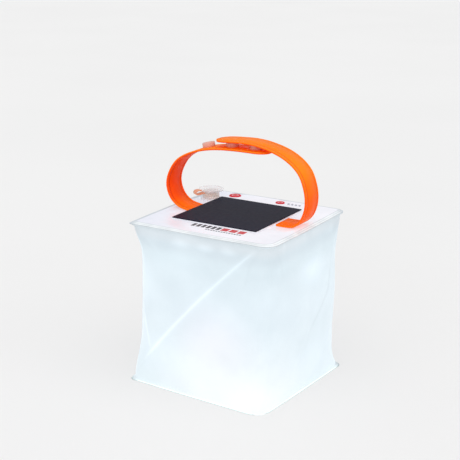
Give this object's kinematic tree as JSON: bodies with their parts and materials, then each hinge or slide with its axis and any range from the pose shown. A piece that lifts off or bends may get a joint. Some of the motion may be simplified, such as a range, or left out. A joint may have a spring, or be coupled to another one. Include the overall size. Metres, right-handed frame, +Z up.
{
  "type": "inflatable solar lantern",
  "caption": "Collapsible frosted film cube lantern: a square solar panel over a lamp module, an inflation valve, two press buttons and a snap-together strap handle on top.",
  "frame": {"origin": "centre of the bottom sheet's underside", "axes": "+Z up; X and Y along the top sheet's edges, the strap handle spans X and the valve stands at -X +Y"},
  "size_m": [0.1576, 0.1576, 0.2315],
  "materials": {
    "frosted_film": "frosted translucent film",
    "printed_film": "white printed film",
    "white_plastic": "satin",
    "solar_laminate": "satin laminate",
    "orange_silicone": "matte silicone",
    "clear_plastic": "clear",
    "black_plastic": "matte",
    "board_green": "satin",
    "cell_foil": "foil",
    "led_white": "bright",
    "red_rubber": "matte",
    "smoke_lens": "smoky",
    "copper_film": "flexible circuit film"
  },
  "bodies": {
    "bottom": {"bottom_sheet": "frosted_film"},
    "walls": {"side_wall": "frosted_film"},
    "top": {"top_sheet": "printed_film", "panel_bezel": "white_plastic", "solar_panel": "solar_laminate", "strap_left_root": "orange_silicone", "strap_right_root": "orange_silicone", "valve_base": "clear_plastic", "tray_bond_ring": "black_plastic", "housing_tray": "white_plastic", "housing_lens": "clear_plastic", "circuit_board": "board_green", "battery_pad": "black_plastic", "battery_cell": "cell_foil", "charge_chip": "black_plastic", "charge_coil": "black_plastic", "led_1": "led_white", "led_2": "led_white", "led_3": "led_white", "led_4": "led_white", "led_5": "led_white", "led_6": "led_white", "led_7": "led_white", "led_8": "led_white", "led_9": "led_white", "led_10": "led_white", "strip_tray": "white_plastic", "strip_board": "board_green", "power_switch": "black_plastic", "check_switch": "black_plastic", "indicator_1": "smoke_lens", "indicator_2": "smoke_lens", "indicator_3": "smoke_lens", "indicator_4": "smoke_lens", "ribbon_socket": "black_plastic", "ribbon_cable": "copper_film"},
    "strap_left": {"strap_left": "orange_silicone", "snap_socket_1": "clear_plastic", "snap_socket_2": "clear_plastic", "snap_socket_3": "clear_plastic"},
    "strap_right": {"strap_right": "orange_silicone", "snap_stud_1": "clear_plastic", "snap_stud_2": "clear_plastic"},
    "valve_stem": {"valve_stem": "clear_plastic", "valve_flap": "clear_plastic", "valve_tether": "clear_plastic"},
    "valve_cap": {"valve_cap": "clear_plastic"},
    "power_button": {"power_button": "red_rubber"},
    "check_button": {"check_button": "red_rubber"}
  },
  "joints": [
    {"name": "twist", "type": "hinge", "parent": "bottom", "child": "walls", "pos_m": [0, 0, 0], "axis": [0, 0, 1], "range_deg": [0, 86.65]},
    {"name": "collapse", "type": "slide", "parent": "walls", "child": "top", "axis": [0, 0, -1], "range_m": [0, 0.134], "deforming": ["side_wall"]},
    {"name": "strap_left_fold", "type": "hinge", "parent": "top", "child": "strap_left", "pos_m": [-0.0724, 0, 0.182], "axis": [0, 1, 0], "range_deg": [0, 29]},
    {"name": "strap_right_open", "type": "hinge", "parent": "top", "child": "strap_right", "pos_m": [0.0757, 0, 0.183], "axis": [0, 1, 0], "range_deg": [0, 150]},
    {"name": "valve_push", "type": "slide", "parent": "top", "child": "valve_stem", "axis": [0, 0, -1], "range_m": [0, 0.0045]},
    {"name": "valve_cap_open", "type": "hinge", "parent": "valve_stem", "child": "valve_cap", "pos_m": [-0.06475, 0.02858, 0.166], "axis": [0.866, -0.5, 0], "range_deg": [0, 115]},
    {"name": "power_press", "type": "slide", "parent": "top", "child": "power_button", "axis": [0, 0, -1], "range_m": [0, 0.0005], "stiffness_N_per_m": 1500},
    {"name": "check_press", "type": "slide", "parent": "top", "child": "check_button", "axis": [0, 0, -1], "range_m": [0, 0.0005], "stiffness_N_per_m": 1500}
  ],
  "couplings": [
    {"joint": "twist", "follows": "collapse", "rad_per_m": 11.28}
  ]
}
